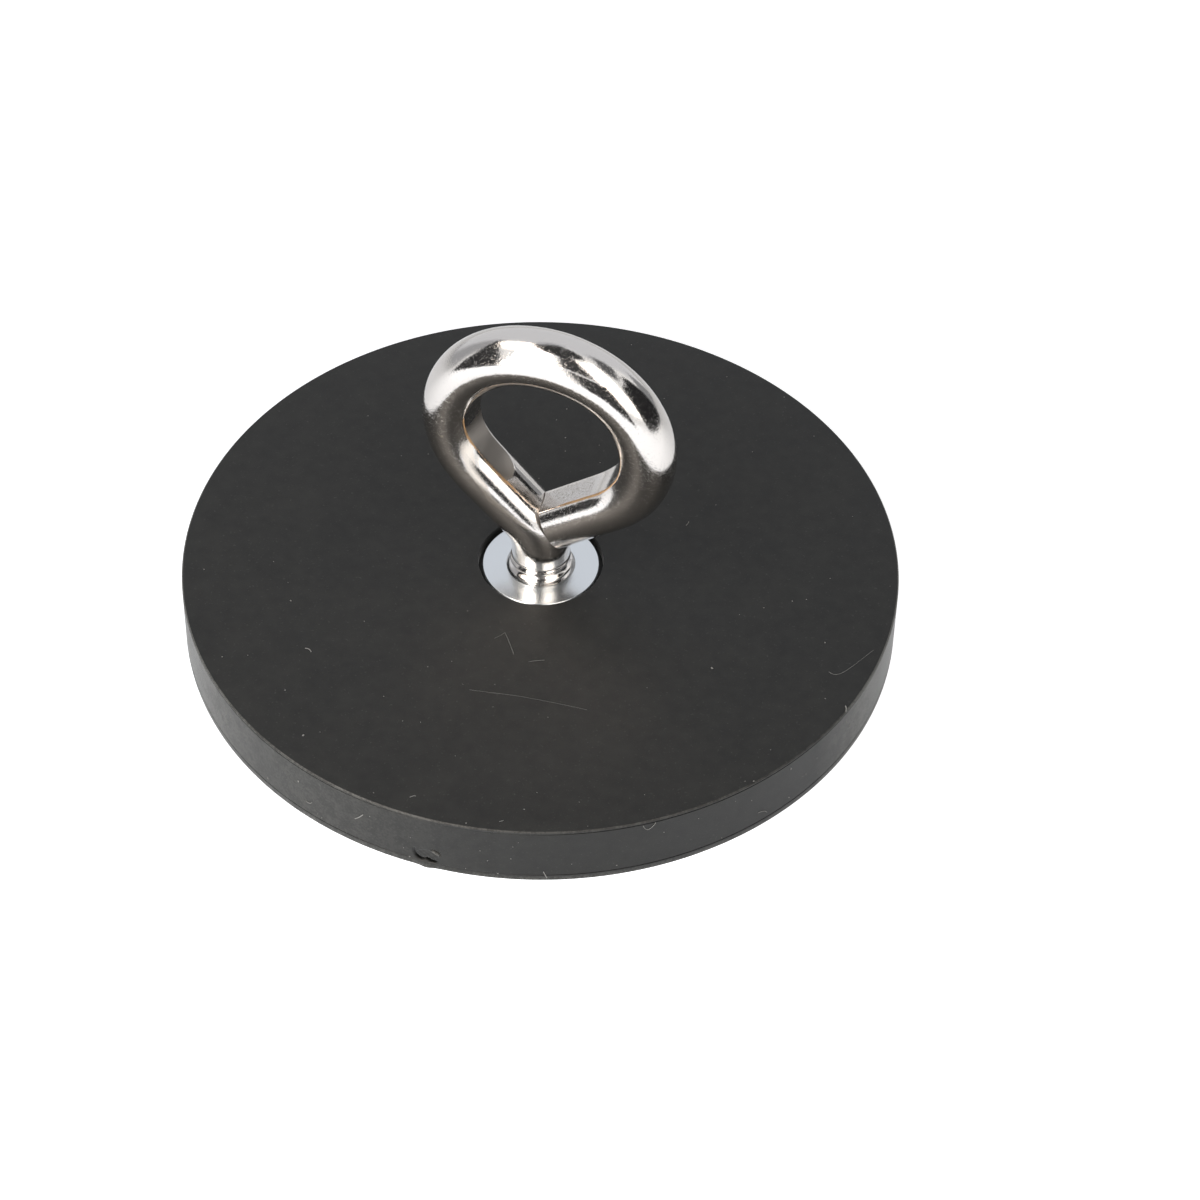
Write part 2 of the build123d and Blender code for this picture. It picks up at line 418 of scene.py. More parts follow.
def lesser(one, other, soft):
    """The lesser of two values, with the corner where they cross rounded over a width soft."""
    return 0.5 * (one + other - np.sqrt((one - other) ** 2 + soft ** 2))


def thread_cut(height, angle):
    """Depth of a thread below its crests: the distance from the nearest crest, measured along the axis,
    less the half crest, on a flank that drops at 30 degrees to the square, held at the root."""
    turns = height / thread_pitch - angle / (2 * np.pi) - thread_start
    away = np.abs((turns + 0.5) % 1 - 0.5) * thread_pitch
    drop = (away - thread_crest) / np.tan(np.pi / 6)
    return lesser(-lesser(-drop, 0, thread_soft), thread_depth, thread_soft)


def zinc_plate(tree):
    """Bright zinc over a turned face: pale blue-grey, satin. Fine rings round the hole draw each reflection
    out into a streak towards the middle, and the plating has a fine mottle."""
    place = node(tree, "TexCoord").outputs["Object"]
    flat = node(tree, "VectorMath", {0: place, 1: (1, 1, 0)}, operation="MULTIPLY")
    out = node(tree, "VectorMath", {0: flat}, operation="LENGTH")
    rings = node(tree, "TexNoise", {"W": out, "Scale": 1 / (turning_pitch * MM), "Detail": 3.0},
                 noise_dimensions="1D")
    mottle = node(tree, "TexNoise", {"Vector": place, "Scale": 1 / (zinc_grain * MM), "Detail": 2.0})
    height = node(tree, "Math", {0: mottle, 1: 0.5, 2: rings}, operation="MULTIPLY_ADD")
    bump = node(tree, "Bump", {"Height": height, "Strength": 0.5, "Distance": 0.008 * MM})
    tone = node(tree, "Mix", {"Factor": mottle, "A": linear("dde2e6"), "B": linear("eef2f5")},
                data_type="RGBA")
    return node(tree, "BsdfPrincipled", {
        "Base Color": tone, "Metallic": 1.0, "Roughness": 0.24, "Normal": bump, "Anisotropic": 0.6,
        "Anisotropic Rotation": 0.25, "Tangent": node(tree, "Tangent", direction_type="RADIAL", axis="Z")})


def bush():
    """The turned outline, round Z. The thread stands inwards from its bore and fades out at both ends."""
    profile = outline([
        (0, bush_foot_z, 0), (collar_r, bush_foot_z, 0.1),
        (collar_r, plate_z, 0.1), (bush_r, plate_z, 0.05),
        (bush_r, bush_top_z - bush_rim, 0.05), (bush_r - bush_rim, bush_top_z, 0.05),
        (bore_r + sink_w, bush_top_z, 0.05), (bore_r, bush_top_z - sink_w, 0.03),
        (bore_r, bore_foot_z, 0.1), (0, bore_foot_z, 0)])
    bore = 1 + np.argmax(profile[1:, 0] < bore_r + 0.0001)  # the first point past the countersink's arcs
    profile = np.concatenate([
        profile[:bore], divided(profile[bore:], bush_top_z, bore_foot_z, thread_pitch / thread_rows)])
    angles = np.linspace(-np.pi, np.pi, bush_columns, endpoint=False)
    rows = ring_of(profile[1:-1], angles)
    radius, height = np.hypot(rows[..., 0], rows[..., 1]), rows[..., 2]
    sink_z = bush_top_z - sink_w
    in_bore = (np.abs(radius - bore_r) < 0.01) & (height < sink_z + 0.01)
    reach = (np.clip((sink_z - height) / thread_fade[0], 0, 1)
             * np.clip((height - bore_foot_z) / thread_fade[1], 0, 1))
    rows[..., :2] *= (1 - np.where(in_bore, thread_cut(height, angles) * reach, 0) / radius)[..., None]
    return shell(rows, (0, 0, bush_foot_z), (0, 0, bore_foot_z))


piece("turned_bush", [(bush(), False)], finish("zinc_plated_steel", zinc_plate),
      "threaded_bush", hard_angle=35)


# ---- Rubber coating ----
# One moulding of black rubber round the plate, the magnets and the bush. It was fed from one gate, low on
# its wall, where a round seat with a torn flap and a lump of flash are left. The mould's parts meet in a
# fine slot near the foot, and in another under the top edge.

_, (disc_r, _, disc_h) = box_of("rubber_coating")
plate_edge = 0.4  # broken edges of the plate
top_round = 0.16  # upper edge of the disc
foot_round = 0.06
well_r = bush_r + 0.43  # the rubber stands back from the sunk end of the bush
well_z = 7.2  # foot of the narrow gap between them
foot_slot = (0.92, 0.07, 0.16)  # height, half width and depth of the lower slot
top_slot = (disc_h - 0.40, 0.08, 0.15)  # and of the upper one
shut_at, shut_wide = 8, 42  # the slots are pressed shut here, and open over this many degrees
ragged_pitch = 2.3  # along the torn edge of flash below the lower slot
ragged_deep = 0.04
gate_at, gate_z = 1.5, 2.05  # middle of the gate's seat: along the wall from -Y, and up it
gate_wide, gate_high = 1.5, 1.0  # half of its width and of its height

# Cuts and ridges of the gate's mark, as (along the wall, height, depth or rise).
gate_cut = [(-0.1, 2.8, 0.1), (-0.08, 2.1, 0.26), (0.14, 1.61, 0.44), (0.45, 1.34, 0.62),
            (0.8, 1.24, 0.34), (1.15, 1.4, 0.28), (1.45, 1.42, 0.5), (1.86, 1.24, 0.62),
            (2.25, 1.17, 0.52), (2.62, 1.33, 0.15)]
flap_cut = [(2.0, 3.24, 0.1), (2.5, 3.08, 0.4), (2.95, 2.86, 0.35), (3.05, 2.5, 0.15)]
flap_ridge = [(2.15, 2.86, 0.1), (2.5, 2.74, 0.2), (2.9, 2.56, 0.12)]
foot_ridge = [(0.3, 0.72, 0.03), (0.62, 0.7, 0.1), (1.54, 0.66, 0.12), (2.2, 0.7, 0.05)]

# Painted sheen: the wall is painted lighter and mottled where it is seen at a slant, on both sides of the
# camera's direction, with a faint patch between.
painted_sheen_middle = 19  # degrees from the front, the camera's direction: the painted sheen lies on both sides of this
painted_sheen_starts = (48, 22)  # degrees from there to its near ends, and over which they grow
painted_sheen_stops = (150, 45)  # and to its far ends, and over which they fade
painted_sheen_patch = (-22, 22, 0.38)  # middle, width and strength of the faint patch between
foot_band = 0.85  # a painted reflection of the table lightens the foot below this height
wall_step = 0.085  # rows up the wall
gate_step = 0.065  # columns near the gate
gate_columns = (-1.3, 4.3)  # and how far along the wall these reach
far_columns = 340  # columns round the rest
pocket_columns = 32
pocket_gap = 0.01  # the magnets' rooms end this far below the plate
rubber_grain = 0.12
rubber_mottle = 1.6
rubber_cloud = 6.0
rubber_fleck = 0.30  # flecks of bloom are finer, and are drawn this coarse to show


def bell(value, middle, width):
    """1 at the middle, falling away as a bell curve of a half width."""
    return np.exp(-((value - middle) / width) ** 2)


def ridge(along, height, line, width):
    """A ridge or cut that follows a line of (along, height, rise) points on the wall: the rise at the
    nearest place of the line, times a bell curve of the distance from it."""
    line = np.array(line)
    steps = np.linspace(0, len(line) - 1, 12 * len(line))
    there_along, there_up, rise = (np.interp(steps, np.arange(len(line)), column) for column in line.T)
    away = np.hypot(along[..., None] - there_along, height[..., None] - there_up)
    nearest = away.argmin(axis=-1)
    return rise[nearest] * bell(np.take_along_axis(away, nearest[..., None], -1)[..., 0], 0, width)


def gate_shape(along, height):
    """How far the wall stands out near the gate, how far it sinks and how much painted highlight it gets
    there, at a distance along the wall and a height. The seat is a shallow oval, cut deep and downwards
    along its lower left. A flap stands up at the right under another cut, and a lump of flash, two bell
    curves multiplied, hangs at the foot. The flap and the ridge of flash are painted lighter, a painted
    highlight, and the cuts less so."""
    out, sunk, ridge_highlight = np.zeros((3,) + along.shape)
    near = (np.abs(along - gate_at) < 2.6) & (height < gate_z + 2)
    along, height = along[near], height[near]
    away = np.hypot((along - gate_at) / gate_wide, (height - gate_z) / gate_high)
    seat = (0.05 + 0.02 * np.sin(7 * along) * np.sin(9 * height + along)) * np.clip((1 - away) / 0.2, 0, 1)
    lump = 0.2 * bell(along, 1.4, 0.8) * bell(height, 0.1, 0.45)
    flap, lip = ridge(along, height, flap_ridge, 0.10), ridge(along, height, foot_ridge, 0.14)
    cut = ridge(along, height, gate_cut, 0.16)
    out[near] = flap + lip + lump - seat - cut - ridge(along, height, flap_cut, 0.09)
    # Painted highlight on the flap and the ridge of flash, held off in the cuts.
    ridge_highlight[near] = np.clip(flap * 9 + lip * 4 - cut * 5, 0, 1)
    sunk[near] = cut
    return out, sunk, ridge_highlight


def ragged_flash(along, height):
    """The edge of flash that tore off under the lower slot: three waves along the wall, added up, on the
    band below it.
    """
    turns = along / ragged_pitch * 2 * np.pi
    waves = np.sin(turns) + np.sin(2.7 * turns + 1.3) + np.sin(5.3 * turns + 0.4)
    return ragged_deep * waves / 3 * bell(height, 0.45, 0.28)


def moulding():
    """The outside and the room for what it holds, as one outline round Z, with the gate's mark on the wall.
    Gives the shell, and at its vertices the painted highlight along the top edge and on the gate's flap and
    flash, the painted reflection of the table on the foot band, and the painted sheen where the wall turns
    away from the camera."""
    corners = [(0, 0, 0), (disc_r - foot_round, 0, 0.05), (disc_r, foot_round, 0.03)]
    for height, half, depth in (foot_slot, top_slot):
        corners += [(disc_r, height - half, 0), (disc_r - depth, height - half + 0.02, 0),
                    (disc_r - depth, height + half - 0.02, 0), (disc_r, height + half, 0)]
    corners += [
        (disc_r, disc_h - top_round, 0.1), (disc_r - top_round, disc_h, 0.1), (well_r, disc_h, 0.06),
        (well_r, well_z, 0), (bush_r, well_z, 0), (bush_r, plate_top_z, 0),
        (plate_r - plate_edge, plate_top_z, 0), (plate_r, plate_top_z - plate_edge, 0),
        (plate_r, plate_z + plate_edge, 0), (plate_r - plate_edge, plate_z, 0),
        (collar_r, plate_z, 0), (collar_r, bush_foot_z, 0), (0, bush_foot_z, 0)]
    profile = outline(corners)
    wall = (profile[:, 0] > disc_r - 0.2) & (profile[:, 1] < disc_h - 0.01)
    last = np.nonzero(wall)[0].max() + 1
    profile = np.concatenate([divided(profile[:last], disc_h, 0.1, wall_step), profile[last:]])
    near = np.arange(*gate_columns, gate_step) / disc_r
    far = np.linspace(near[-1] + gate_step / disc_r, 2 * np.pi + near[0], far_columns, endpoint=False)
    angles = np.concatenate([near, far])
    rows = ring_of(profile[1:-1], angles - np.pi / 2)
    radius, height = np.hypot(rows[..., 0], rows[..., 1]), rows[..., 2].copy()
    around = (angles + np.pi) % (2 * np.pi) - np.pi
    turn = np.degrees(around)
    along = around * disc_r + 0 * height
    proud, sunk, ridge_highlight = gate_shape(along, height)
    pressed = 1 - np.clip(np.abs(turn - shut_at) / shut_wide, 0, 1)
    proud += (disc_r - radius) * (height > foot_round) * pressed + ragged_flash(along, height)
    on_wall = (radius > disc_r - 0.2) & (height < disc_h - top_round)
    rows[..., :2] *= (1 + np.where(on_wall, proud, 0) / radius)[..., None]
    rows[..., 2] -= np.where(on_wall, 0.5 * sunk, 0)

    # Painted sheen, lighter towards the ends of the wall that turn away from the camera.
    away = np.abs(turn - painted_sheen_middle)
    ends = np.clip(np.minimum((away - painted_sheen_starts[0]) / painted_sheen_starts[1],
                              (painted_sheen_stops[0] - away) / painted_sheen_stops[1]), 0, 1)
    painted_sheen = painted_sheen_patch[2] * bell(turn, *painted_sheen_patch[:2]) + np.where(turn > painted_sheen_middle, 1.5, 1.0) * ends
    # Painted highlight along the top edge, and a painted reflection of the table that lightens the foot
    # band.
    edges = 0.25 * bell(height, disc_h - 0.08, 0.2) + 0.7 * np.clip((foot_band - height) / 0.1, 0, 1)
    on_side = (radius > disc_r - 0.2) & (height > 0) & (height < disc_h - 0.01)
    painted_highlight = np.maximum((edges - 6 * sunk) * on_side, ridge_highlight)
    wear_and_painted_light = {"painted_highlight": painted_highlight, "painted_sheen": (painted_sheen - 6 * sunk) * on_side}
    return shell(rows, (0, 0, 0), (0, 0, bush_foot_z)), {
        mark: np.clip(values, 0, 1.5).reshape(-1) for mark, values in wear_and_painted_light.items()}


def pocket(low, high):
    """The room of one magnet in the rubber, a plain cylinder a hair below the plate."""
    middle, radius = (low + high) / 2, (high[0] - low[0]) / 2
    foot, head = low[2], high[2] - pocket_gap
    angles = np.linspace(0, 2 * np.pi, pocket_columns, endpoint=False)
    rows = ring_of(np.array([(radius, foot), (radius, head)]), angles) + (middle[0], middle[1], 0)
    return shell(rows, (*middle[:2], foot), (*middle[:2], head))


def black_rubber(tree):
    """Carbon-filled rubber, moulded in a blasted steel mould: near black, matt, with a fine even grain, a
    faint cloudiness and light flecks. Its marks paint grey light over it: a painted highlight along the top
    edge and on the gate's flap and flash, a painted reflection of the table on the foot band, and a painted
    sheen where the wall is seen at a slant from the camera."""
    place = node(tree, "TexCoord").outputs["Object"]
    grain, mottle, cloud, flecks = (
        node(tree, "TexNoise", {"Vector": place, "Scale": 1 / (pitch * MM), "Detail": detail})
        for pitch, detail in zip((rubber_grain, rubber_mottle, rubber_cloud, rubber_fleck), (3, 4, 5, 1)))
    fine = node(tree, "Mix", {"Factor": 0.35, "A": mottle, "B": grain})
    both = node(tree, "Mix", {"Factor": 0.7, "A": cloud, "B": fine})
    shade = node(tree, "MapRange", {"Value": both, "From Min": 0.35, "From Max": 0.65})
    black = node(tree, "Mix", {"Factor": shade, "A": linear("0b0b09"), "B": linear("1c1c19")},
                 data_type="RGBA")
    flecks_and_light = node(tree, "MapRange", {"Value": flecks, "From Min": 0.66, "From Max": 0.80, "To Max": 0.16})
    uneven = node(tree, "Math", {0: flecks, 1: mottle}, operation="ADD")
    # Painted highlight and painted sheen: these marks lift the black towards grey, with ragged edges.
    for mark, least, most in (("painted_highlight", 0.35, 1.35), ("painted_sheen", 0.55, 1.15)):
        mark_share = node(tree, "Attribute", attribute_name=mark).outputs["Fac"]
        ragged = node(tree, "MapRange", {
            "Value": uneven, "From Min": 0.85, "From Max": 1.15, "To Min": least, "To Max": most})
        flecks_and_light = node(tree, "Math", {0: mark_share, 1: ragged, 2: flecks_and_light}, operation="MULTIPLY_ADD")
    tone = node(tree, "Mix", {"Factor": flecks_and_light, "A": black, "B": linear("5e5d58")}, data_type="RGBA")
    rough = node(tree, "MapRange", {"Value": cloud, "To Min": 0.42, "To Max": 0.56})
    bump = node(tree, "Bump", {"Height": grain, "Strength": 0.5, "Distance": 0.02 * MM})
    return node(tree, "BsdfPrincipled", {
        "Base Color": tone, "Roughness": rough, "Specular IOR Level": 0.40, "IOR": 1.5, "Sheen Weight": 0.6,
        "Sheen Roughness": 0.25, "Normal": bump})


coating, coating_painted_light = moulding()
pockets = [(pocket(*box_of(name)), True) for name in magnet_names]
piece("moulded_rubber", [(coating, False)] + pockets, finish("moulded_black_rubber", black_rubber),
      "rubber_coating", hard_angle=32, wear_and_painted_light=coating_painted_light)


# ---- Eye bolt ----
# One length of round steel wire: the foot has a rolled M8 thread, the rest is bent round a mandrel into a
# closed eye and sheared off against its own leg. Nickel plated after bending, and screwed into the bush.

(_, _, bolt_foot_z), _ = box_of("eye_bolt")
wire_r = 3.55
thread_r = 3.95
thread_top_z = 10.5
thread_runout = 1.9  # the rolled thread fades out over this length
foot_bevel = 0.8
corner_z = 14.1
bend_r = 6.0
leg_lean = 44.0
leg_l = 12.0
side_r = 11.2
crown_r = 14.1
crown_rise = 21.2
crown_fall = 24.4
closing_dip = 37.7
closing_l = 14.0  # more of the closing leg than is left of it
end_from = 6.0  # the closing leg's end is sought from this far along the leg
end_stand = 2.55
end_tilt = 8.8
end_skew = 6.4
end_round = 0.97  # the shear's rim is rounded from this share of the section
end_proud = 0.04
end_rings = (0.985, 0.955, 0.9, 0.8, 0.65, 0.5, 0.35, 0.2, 0.08)  # rings of the sheared face, as shares
closing_gap = 0.11
crease_soft = 0.10  # rounding of the flat's edges
crease_reach = 0.16  # the metal that the mandrel moves swells up beside them, radians
crease_swell = 0.06  # and stands this share of the flat's depth out of the round
no_flat = 0.02  # a flat less deep than this lifts off the wire
bend_ease = 2.4  # length over which one curve eases into the next
line_step = 0.02  # along the wire's middle line
wire_step = 0.27  # from one ring of the wire to the next
shank_step = 0.07
hidden_step = 0.14  # below the bush's face, where the thread doesn't show
tail_rings = 25

# Columns of the wire, in radians from the middle of the flat: even ones on the flat, close ones from just
# before each crease to just past it, and even ones round the back.
flat_least = 0.16  # where there is hardly a flat, the creases are taken to be this far out
crease_before, crease_past = 0.11, 0.13
flat_columns, crease_columns, back_columns = 18, 14, 154

# Along the wire from the top of the thread: depth of the mandrel's flat, its turn towards the front in
# degrees, and how full the outside of the bend is, as a share of the radius.
wire_marks = np.array([
    (0, 0, 0, 1), (6.4, 0, 16, 1.03), (7.4, 0.08, 18, 1.05), (11.6, 0.1, 17, 1.08), (13, 0.34, 6, 1.08),
    (14, 0.43, 3, 1.08), (18, 0.48, 1, 1.03), (22, 0.6, 6, 0.99), (26, 0.67, 10, 0.96),
    (30, 0.64, 6, 0.95), (34, 0.5, 1, 0.965), (38, 0.3, 0, 0.985), (44, 0.3, 0, 1), (48, 0.34, 0, 0.975),
    (52, 0.6, 0, 0.945), (56, 0.84, 0, 0.945), (60, 0.92, 1, 0.975), (64, 0.84, 2, 1.02),
    (68, 0.62, 4, 1.06), (72, 0.44, 7, 1.04), (76, 0.38, 8, 1.01), (80, 0.34, 8, 1), (82.5, 0.2, 8, 1)])

# Worn places, by length along the wire: how bare the edge of the flat is, and the middle (degrees round the
# wire) and half width of the band of scuffs, whose warm lighter tint is a painted reflection of the table.
bared_along = [(6, 0), (9, 0.35), (12, 0.9), (15, 0.7), (17, 0.4), (21, 1), (25, 0.9), (26.5, 0), (48, 0),
               (51, 0.4), (54, 0.8), (57, 1), (70, 1), (76, 0.8), (77.5, 0.2), (79, 0)]
scuff_along = [(5, 50, 0.35), (10.4, 61, 0.5), (13, 68, 0.7), (16, 65, 0.9), (20, 45, 1.3), (22, 37, 1.4)]
bared_width = 0.22
nick_at, nick_turn = 22.3, 86  # a nick ends the scuffed band: length along the wire, degrees round it
pit_pitch = 0.20  # the pits of the plating are finer, and are drawn this coarse to show
wave_pitch = 0.9
# The scuffed finish's warm lighter tint is a painted reflection, and the rubbed finish is partly a painted
# shade on the closing leg's flat.
worn_and_painted_finishes = [("scuffed_and_painted_reflection", "e8e0d6", 0.24), ("rubbed_and_painted_shade", "9c968f", 0.36), ("bared", "c8a680", 0.32),
                 ("sheared", "b4aea8", 0.30)]


def heading_runs():
    """The bends of the wire as (length, turn in radians) from the top of the thread to the closing leg."""
    tangent = bend_r * np.tan(np.radians(leg_lean / 2))
    leg, closing = 90 + leg_lean, closing_dip - 180
    arcs = [(bend_r, leg_lean), (side_r, crown_rise - leg), (crown_r, -crown_rise - crown_fall),
            (side_r, closing + crown_fall)]
    bend, left, crown, right = ((radius * abs(np.radians(turn)), np.radians(turn)) for radius, turn in arcs)
    neck = (corner_z - tangent - thread_top_z, 0.0)
    return [neck, bend, (leg_l - tangent, 0.0), left, crown, right, (closing_l, 0.0)]


def wire_path(runs, starts):
    """The wire's middle line in the XZ plane: the turn per millimetre of each run, eased over a short
    length, is added up to a heading, and the heading to a line. Gives length, place and heading."""
    at = np.arange(0, sum(length for length, _ in runs), line_step) + line_step / 2
    bend = np.array([turn / length for length, turn in runs])[np.searchsorted(starts, at, side="right") - 1]
    width = int(bend_ease / line_step)
    padded = np.concatenate([np.full(width, bend[0]), bend, np.full(width, bend[-1])])
    smooth = np.convolve(padded, np.ones(width) / width, "same")[width:-width]
    heading = np.pi / 2 + np.concatenate([[0], np.cumsum(smooth) * line_step])
    middle = (heading[1:] + heading[:-1]) / 2
    steps = line_step * np.stack([np.cos(middle), np.sin(middle)], axis=1)
    place = np.concatenate([[(0, 0)], np.cumsum(steps, axis=0)]) + (0, thread_top_z)
    return np.arange(len(heading)) * line_step, place, heading


wire_runs = heading_runs()
run_starts = np.cumsum([0] + [length for length, _ in wire_runs])
leg_s, left_s, closing_s = run_starts[[2, 3, 6]]  # starts of the open leg, left side and closing leg
path_s, path_place, path_heading = wire_path(wire_runs, run_starts)


def at_length(s):
    """Place and heading of the middle line at a length along it."""
    place = np.stack([np.interp(s, path_s, path_place[:, k]) for k in (0, 1)], axis=-1)
    return place, np.interp(s, path_s, path_heading)


def marks_at(s):
    """Flat depth, flat turn and fullness at lengths along the wire, as straight lines between the given
    values, smoothed by a bell-shaped window of 1.6 mm."""
    step, half = 0.1, 8
    fine = np.arange(-2, wire_marks[-1, 0] + 2, step)
    window = np.hanning(2 * half + 1)
    smooth = (np.convolve(np.interp(fine, wire_marks[:, 0], column), window / window.sum(), "valid")
              for column in wire_marks[:, 1:].T)
    return [np.interp(s, fine[half:-half], column) for column in smooth]


def crossing():
    """Where the middle lines of the two legs cross, from a place and a heading on each."""
    (leg_at, closing_at), (leg_way, closing_way) = at_length(np.array([leg_s + 2, closing_s + 3]))
    a, b = (np.array([np.cos(way), np.sin(way)]) for way in (leg_way, closing_way))
    gap = closing_at - leg_at
    return leg_at + a * (gap[0] * b[1] - gap[1] * b[0]) / (a[0] * b[1] - a[1] * b[0])


def section(s):
    """Rings of the wire at lengths s, as offsets towards the inside of the eye and across it, with the
    angle from the middle of the flat. The radius is wire_r, swollen by a bell curve at both edges of the
    flat. Outwards it nears the given fullness, by (1 - cos angle) / 2 to the power 1.5. The flat then cuts
    it softly."""
    depth, turn, outside = marks_at(np.asarray(s)[:, None])
    edge = np.arccos(1 - depth / wire_r)
    held = np.maximum(edge, flat_least)
    back = held + crease_past
    crease = (crease_before + crease_past) * np.linspace(0, 1, crease_columns, endpoint=False)
    angle = np.concatenate([
        (held - crease_before) * np.linspace(-1, 1, flat_columns, endpoint=False),
        held - crease_before + crease,
        back + 2 * (np.pi - back) * np.linspace(0, 1, back_columns, endpoint=False),
        2 * np.pi - back + crease], axis=1)
    angle = (angle + np.pi) % (2 * np.pi) - np.pi
    swell = crease_swell * depth * bell(np.abs(angle), edge, crease_reach)
    radius = (wire_r + swell) * (1 + (outside - 1) * ((1 - np.cos(angle)) / 2) ** 1.5)
    inward, across = radius * np.cos(angle), radius * np.sin(angle)
    inward = lesser(inward, wire_r - depth + 20 * np.clip(no_flat - depth, 0, no_flat), crease_soft)
    cos, sin = np.cos(np.radians(turn)), np.sin(np.radians(turn))
    return inward * cos + across * sin, across * cos - inward * sin, angle


def place_rings(s, inward, across):
    """Puts section offsets at lengths s into space, in the plane of the eye and across it."""
    place, heading = at_length(s)
    return np.stack([place[..., 0] + inward * np.sin(heading), across + 0 * heading,
                     place[..., 1] - inward * np.cos(heading)], axis=-1)


# The middle line of the thread's top, the neck and the open leg, as close points.
open_line = np.concatenate([
    np.stack([np.zeros(80), np.linspace(thread_top_z - 4, thread_top_z, 80)], axis=1),
    at_length(np.arange(0, left_s, 0.05))[0]])


def open_leg_clear(points):
    """Whether points are clear of the neck and the open leg, by their distance from the middle line."""
    flat = points.reshape(-1, 3)
    gaps = np.hypot(flat[:, None, 0] - open_line[:, 0], flat[:, None, 2] - open_line[:, 1])
    return (np.hypot(gaps.min(axis=1), flat[:, 1]) > wire_r + closing_gap).reshape(points.shape[:-1])


def end_length(inward, across):
    """Length along the wire at which the closing leg stops, for each offset: at the plane of the shear,
    or where the open leg is in the way, found by halving."""
    (place,), (heading,) = at_length(np.array([closing_s + end_from]))
    meet = crossing()
    along = np.array([np.cos(heading), 0, np.sin(heading)])
    side = np.array([np.sin(heading), 0, -np.cos(heading)])
    start = np.array([place[0], 0, place[1]])
    stop = np.array([meet[0], 0, meet[1]]) - along * end_stand
    tilt = heading - np.radians(end_tilt)
    facing = np.array([np.cos(tilt), -np.sin(np.radians(end_skew)), np.sin(tilt)])
    offset = side * inward[..., None] + np.array([0, 1, 0]) * across[..., None]
    plane = ((stop - start) @ facing - offset @ facing) / (along @ facing)
    low, high = np.full(inward.shape, -8.0), plane.copy()
    for _ in range(16):
        middle = (low + high) / 2
        clear = open_leg_clear(start + along * middle[..., None] + offset)
        low, high = np.where(clear, middle, low), np.where(clear, high, middle)
    clear = open_leg_clear(start + along * plane[..., None] + offset)
    return closing_s + end_from + np.where(clear, plane, low)


def shank_rows(angle):
    """The threaded foot: a lead-in cone, then a cylinder that narrows to the wire over the run-out, less
    the thread's depth, which fades out over the same length."""
    hidden_z = bush_top_z - 0.6
    heights = np.concatenate([np.arange(bolt_foot_z, hidden_z, hidden_step),
                              np.arange(hidden_z, thread_top_z, shank_step)])[:, None]
    full = np.clip((thread_top_z - heights) / thread_runout, 0, 1)
    outer = wire_r + (thread_r - wire_r) * full
    cone = thread_r - foot_bevel + heights - bolt_foot_z
    radius = np.minimum(cone, outer - thread_cut(heights, angle) * full)
    return np.stack([radius * np.cos(angle), radius * np.sin(angle), heights + 0 * angle], axis=-1)


def between(value, low, high, soft):
    """1 between low and high and 0 outside, with an even slope of a length soft inside each end."""
    return np.clip(np.minimum(value - low, high - value) / soft, 0, 1)


def wear_and_painted_marks(s, angle):
    """Where the plating is thinned and bared, from the length along the wire and the angle round it, which
    is negative on the front: its bared copper edge, its band of scuffs with a painted reflection of the
    table, and its dulled flat, which on the closing leg is a painted shade. Each mark is a band along the
    wire, times a bell curve or a band across it."""
    edge = np.arccos(1 - np.maximum(marks_at(s)[0], 0) / wire_r)
    from_crease = (-angle - edge) * wire_r
    bared = np.interp(s, *np.array(bared_along).T) * bell(from_crease, 0.06, bared_width)
    scuff_s, *scuff = np.array(scuff_along).T
    middle, width = (np.interp(s, scuff_s, values) for values in scuff)
    from_scuff = np.abs(-angle - np.radians(middle)) * wire_r
    # A rougher band of scuffs, whose warm lighter tint is a painted reflection of the table.
    scuffed_and_painted_reflection = between(s, 4.6, 21.6, 1.6) * np.clip(1.4 * (1 - from_scuff / width), 0, 1)
    nick = bell(s, nick_at, 0.2) * bell(angle * wire_r, -np.radians(nick_turn) * wire_r, 0.5)
    rounded = 0.5 * (angle / np.maximum(edge, 0.1)) ** 2
    # The fainter second patch, on the closing leg's flat, is a painted shade that darkens its reflection;
    # the first is the dulled flat of the open leg.
    patch = between(s - rounded, 11.5, 23, 0.4) + 0.35 * between(s, 71, 84, 1)
    rubbed_and_painted_shade = patch * between(angle, -edge, edge, 0.05)
    return {"bared": bared, "scuffed_and_painted_reflection": np.maximum(scuffed_and_painted_reflection, nick), "rubbed_and_painted_shade": rubbed_and_painted_shade}


